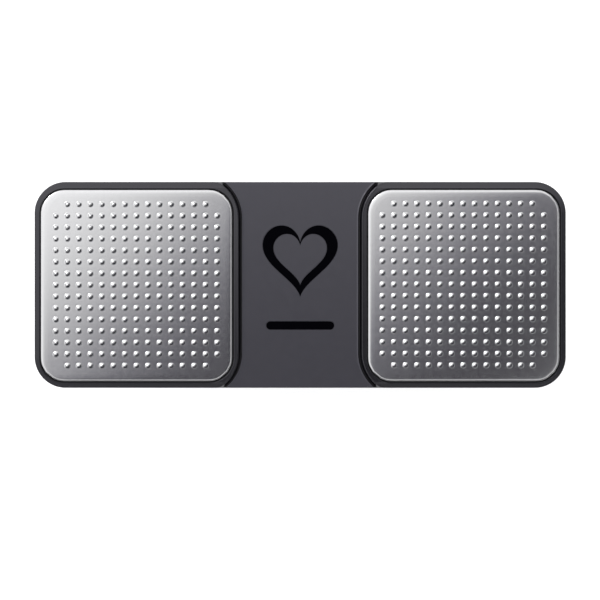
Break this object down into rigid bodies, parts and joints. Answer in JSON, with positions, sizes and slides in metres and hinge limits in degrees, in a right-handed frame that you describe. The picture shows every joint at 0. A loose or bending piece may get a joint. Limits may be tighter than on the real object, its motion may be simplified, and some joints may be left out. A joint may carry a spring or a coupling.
{
  "type": "pocket heart monitor",
  "caption": "Thin pocket heart monitor with embossed steel finger pads, moulded case and a coin cell behind a hinged battery door.",
  "frame": {"origin": "middle of the flat back face", "axes": "+X along the case towards the pad over the coin cell, +Y across it, +Z out of the face with the pads"},
  "size_m": [0.082, 0.0318, 0.0035],
  "materials": {
    "black_plastic": "satin, finely textured",
    "electrode_steel": "satin, embossed",
    "adhesive_film": "thin film",
    "board_green": "solder mask",
    "chip_black": "matt",
    "can_steel": "bright",
    "capacitor_tan": "matt",
    "seal_grey": "matt",
    "spring_gold": "bright gold plating",
    "piezo_brass": "satin",
    "piezo_white": "matt",
    "lead_red": "matt"
  },
  "bodies": {
    "housing": {"front_housing": "black_plastic", "back_cover": "black_plastic", "left_electrode": "electrode_steel", "right_electrode": "electrode_steel", "left_electrode_adhesive": "adhesive_film", "right_electrode_adhesive": "adhesive_film", "left_contact_spring": "spring_gold", "right_contact_spring": "spring_gold", "circuit_board": "board_green", "processor_chip": "chip_black", "amplifier_chip": "chip_black", "crystal_can": "can_steel", "chip_capacitor_1": "capacitor_tan", "chip_capacitor_2": "capacitor_tan", "chip_capacitor_3": "capacitor_tan", "chip_capacitor_4": "capacitor_tan", "chip_resistor_1": "chip_black", "chip_resistor_2": "chip_black", "chip_resistor_3": "chip_black", "chip_resistor_4": "chip_black", "coin_cell_can": "can_steel", "coin_cell_seal": "seal_grey", "coin_cell_cap": "can_steel", "positive_contact": "spring_gold", "negative_contact": "spring_gold", "piezo_plate": "piezo_brass", "piezo_ceramic": "piezo_white", "piezo_lead_1": "lead_red", "piezo_lead_2": "chip_black"},
    "door": {"battery_door": "black_plastic", "door_clip": "spring_gold"}
  },
  "joints": [
    {"name": "battery_door_hinge", "type": "hinge", "parent": "housing", "child": "door", "pos_m": [0.01325, 0, 0], "axis": [0, 1, 0], "range_deg": [0, 45], "deforming": ["door_clip"]}
  ]
}
